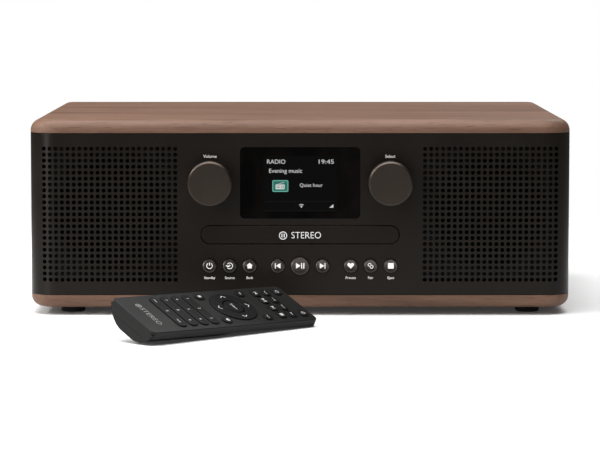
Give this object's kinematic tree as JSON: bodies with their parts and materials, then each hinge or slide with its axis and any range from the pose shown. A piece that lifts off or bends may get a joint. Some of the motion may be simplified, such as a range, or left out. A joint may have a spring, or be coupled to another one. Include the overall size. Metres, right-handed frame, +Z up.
{
  "type": "compact hifi system",
  "caption": "Tabletop hifi system in a wood-topped cabinet with two speaker grilles, a disc drawer, a colour display, knobs and buttons, with its remote control.",
  "frame": {"origin": "on the table under the middle of the main unit", "axes": "+Z up, +X to the right of someone facing the unit, front of the unit towards -Y"},
  "size_m": [0.4, 0.4889, 0.1448],
  "materials": {
    "walnut": "open-pored veneer, satin",
    "dark_moulding": "fine satin, coffee black",
    "rear_plastic": "fine texture, black",
    "screen_gloss": "polished",
    "screen_metal": "brushed",
    "circuit_board": "solder mask",
    "drawer_face": "fine satin",
    "drawer_plastic": "moulded",
    "gear_plastic": "natural acetal",
    "steel": "plated",
    "chrome": "polished",
    "aerial_black": "satin",
    "knob_metal": "fine spun, brown",
    "button_metal": "metallic paint",
    "speaker_steel": "black",
    "cone_paper": "pressed pulp",
    "rubber": "matt",
    "remote_plastic": "fine texture",
    "remote_rubber": "silk",
    "cell_jacket": "printed sleeve"
  },
  "bodies": {
    "cabinet": {"top_panel": "walnut", "bottom_panel": "walnut", "left_side_panel": "dark_moulding", "right_side_panel": "dark_moulding", "rear_panel": "rear_plastic", "front_panel": "dark_moulding", "display_window": "screen_gloss", "display_module": "screen_metal", "upper_control_board": "circuit_board", "lower_control_board": "circuit_board", "loader_frame": "drawer_plastic", "loading_motor": "steel", "main_board": "circuit_board", "aerial_base": "aerial_black", "feet": "rubber", "cabinet_screws": "steel", "left_speaker_box": "rear_plastic", "right_speaker_box": "rear_plastic", "left_speaker_frame": "speaker_steel", "right_speaker_frame": "speaker_steel", "left_surround": "rubber", "right_surround": "rubber"},
    "left_cone": {"left_cone": "cone_paper"},
    "right_cone": {"right_cone": "cone_paper"},
    "volume_push": {"volume_push_slider": "gear_plastic"},
    "volume_knob": {"volume_knob": "knob_metal", "volume_shaft": "steel"},
    "select_push": {"select_push_slider": "gear_plastic"},
    "select_knob": {"select_knob": "knob_metal", "select_shaft": "steel"},
    "tray": {"disc_tray": "drawer_plastic", "tray_front": "drawer_face"},
    "tray_gear": {"tray_gear": "gear_plastic"},
    "motor_gear": {"motor_gear": "gear_plastic"},
    "deck": {"deck_plate": "steel", "spindle_motor": "steel"},
    "hub": {"spindle_hub": "gear_plastic"},
    "sled": {"pickup_sled": "gear_plastic"},
    "feed_screw": {"feed_screw": "steel"},
    "puck": {"clamp_puck": "drawer_plastic"},
    "aerial_swivel": {"aerial_swivel": "aerial_black"},
    "aerial_rod": {"aerial_outer": "chrome"},
    "aerial_section_2": {"aerial_section_2": "chrome"},
    "aerial_section_3": {"aerial_section_3": "chrome"},
    "aerial_tip": {"aerial_tip": "chrome"},
    "remote": {"remote_top_case": "remote_plastic", "remote_bottom_case": "remote_plastic", "remote_keypad": "remote_rubber", "remote_board": "circuit_board", "remote_batteries": "cell_jacket"},
    "battery_cover": {"remote_battery_cover": "remote_plastic"},
    "standby_button": {"standby_button": "button_metal"},
    "source_button": {"source_button": "button_metal"},
    "back_button": {"back_button": "button_metal"},
    "previous_button": {"previous_button": "button_metal"},
    "play_button": {"play_button": "button_metal"},
    "next_button": {"next_button": "button_metal"},
    "presets_button": {"presets_button": "button_metal"},
    "pair_button": {"pair_button": "button_metal"},
    "eject_button": {"eject_button": "button_metal"}
  },
  "joints": [
    {"name": "left_cone_stroke", "type": "slide", "parent": "cabinet", "child": "left_cone", "axis": [0, -1, 0], "range_m": [-0.0025, 0.0025], "stiffness_N_per_m": 1000},
    {"name": "right_cone_stroke", "type": "slide", "parent": "cabinet", "child": "right_cone", "axis": [0, -1, 0], "range_m": [-0.0025, 0.0025], "stiffness_N_per_m": 1000},
    {"name": "volume_press", "type": "slide", "parent": "cabinet", "child": "volume_push", "axis": [0, 1, 0], "range_m": [0, 0.0006], "stiffness_N_per_m": 1500},
    {"name": "volume_turn", "type": "hinge", "parent": "volume_push", "child": "volume_knob", "pos_m": [-0.0663, -0.15, 0.09865], "axis": [0, -1, 0], "continuous": true},
    {"name": "select_press", "type": "slide", "parent": "cabinet", "child": "select_push", "axis": [0, 1, 0], "range_m": [0, 0.0006], "stiffness_N_per_m": 1500},
    {"name": "select_turn", "type": "hinge", "parent": "select_push", "child": "select_knob", "pos_m": [0.0663, -0.15, 0.09865], "axis": [0, -1, 0], "continuous": true},
    {"name": "standby_press", "type": "slide", "parent": "cabinet", "child": "standby_button", "axis": [0, 1, 0], "range_m": [0, 0.0008], "stiffness_N_per_m": 800},
    {"name": "source_press", "type": "slide", "parent": "cabinet", "child": "source_button", "axis": [0, 1, 0], "range_m": [0, 0.0008], "stiffness_N_per_m": 800},
    {"name": "back_press", "type": "slide", "parent": "cabinet", "child": "back_button", "axis": [0, 1, 0], "range_m": [0, 0.0008], "stiffness_N_per_m": 800},
    {"name": "previous_press", "type": "slide", "parent": "cabinet", "child": "previous_button", "axis": [0, 1, 0], "range_m": [0, 0.0008], "stiffness_N_per_m": 800},
    {"name": "play_press", "type": "slide", "parent": "cabinet", "child": "play_button", "axis": [0, 1, 0], "range_m": [0, 0.0008], "stiffness_N_per_m": 800},
    {"name": "next_press", "type": "slide", "parent": "cabinet", "child": "next_button", "axis": [0, 1, 0], "range_m": [0, 0.0008], "stiffness_N_per_m": 800},
    {"name": "presets_press", "type": "slide", "parent": "cabinet", "child": "presets_button", "axis": [0, 1, 0], "range_m": [0, 0.0008], "stiffness_N_per_m": 800},
    {"name": "pair_press", "type": "slide", "parent": "cabinet", "child": "pair_button", "axis": [0, 1, 0], "range_m": [0, 0.0008], "stiffness_N_per_m": 800},
    {"name": "eject_press", "type": "slide", "parent": "cabinet", "child": "eject_button", "axis": [0, 1, 0], "range_m": [0, 0.0008], "stiffness_N_per_m": 800},
    {"name": "tray_slide", "type": "slide", "parent": "cabinet", "child": "tray", "axis": [0, -1, 0], "range_m": [0, 0.14]},
    {"name": "tray_gear_turn", "type": "hinge", "parent": "cabinet", "child": "tray_gear", "pos_m": [-0.048, -0.122, 0.0527], "axis": [0, 0, 1], "range_deg": [-5, 716]},
    {"name": "motor_gear_turn", "type": "hinge", "parent": "cabinet", "child": "motor_gear", "pos_m": [-0.02738, -0.122, 0.0527], "axis": [0, 0, 1], "range_deg": [-860, 5]},
    {"name": "deck_tilt", "type": "hinge", "parent": "cabinet", "child": "deck", "pos_m": [0, 0.02, 0.047], "axis": [1, 0, 0], "range_deg": [0, 3]},
    {"name": "disc_spin", "type": "hinge", "parent": "deck", "child": "hub", "pos_m": [0, -0.08, 0.0515], "axis": [0, 0, 1], "continuous": true},
    {"name": "sled_slide", "type": "slide", "parent": "deck", "child": "sled", "axis": [0, 1, 0], "range_m": [0, 0.034]},
    {"name": "feed_screw_turn", "type": "hinge", "parent": "deck", "child": "feed_screw", "pos_m": [0.0295, -0.06, 0.0539], "axis": [0, 1, 0], "range_deg": [-5, 4085]},
    {"name": "puck_spin", "type": "hinge", "parent": "cabinet", "child": "puck", "pos_m": [0, -0.08, 0.07], "axis": [0, 0, 1], "continuous": true},
    {"name": "aerial_turn", "type": "hinge", "parent": "cabinet", "child": "aerial_swivel", "pos_m": [0.15, 0.153, 0.112], "axis": [0, 1, 0], "range_deg": [0, 180]},
    {"name": "aerial_fold", "type": "hinge", "parent": "aerial_swivel", "child": "aerial_rod", "pos_m": [0.15, 0.158, 0.112], "axis": [0, 0, -1], "range_deg": [0, 90]},
    {"name": "aerial_extend_2", "type": "slide", "parent": "aerial_rod", "child": "aerial_section_2", "axis": [-1, 0, 0], "range_m": [0, 0.12]},
    {"name": "aerial_extend_3", "type": "slide", "parent": "aerial_section_2", "child": "aerial_section_3", "axis": [-1, 0, 0], "range_m": [0, 0.12]},
    {"name": "aerial_extend_tip", "type": "slide", "parent": "aerial_section_3", "child": "aerial_tip", "axis": [-1, 0, 0], "range_m": [0, 0.12]},
    {"name": "remote_place", "type": "slide", "parent": "cabinet", "child": "remote", "axis": [0, -1, 0], "range_m": [0, 0.1]},
    {"name": "battery_cover_slide", "type": "slide", "parent": "remote", "child": "battery_cover", "axis": [-0.7188, -0.6948, 0.0246], "range_m": [0, 0.06]}
  ],
  "couplings": [
    {"joint": "tray_gear_turn", "follows": "tray_slide", "rad_per_m": 88.889},
    {"joint": "motor_gear_turn", "follows": "tray_slide", "rad_per_m": -106.67},
    {"joint": "feed_screw_turn", "follows": "sled_slide", "rad_per_m": 2094.4},
    {"joint": "puck_spin", "follows": "disc_spin", "ratio": 1}
  ]
}
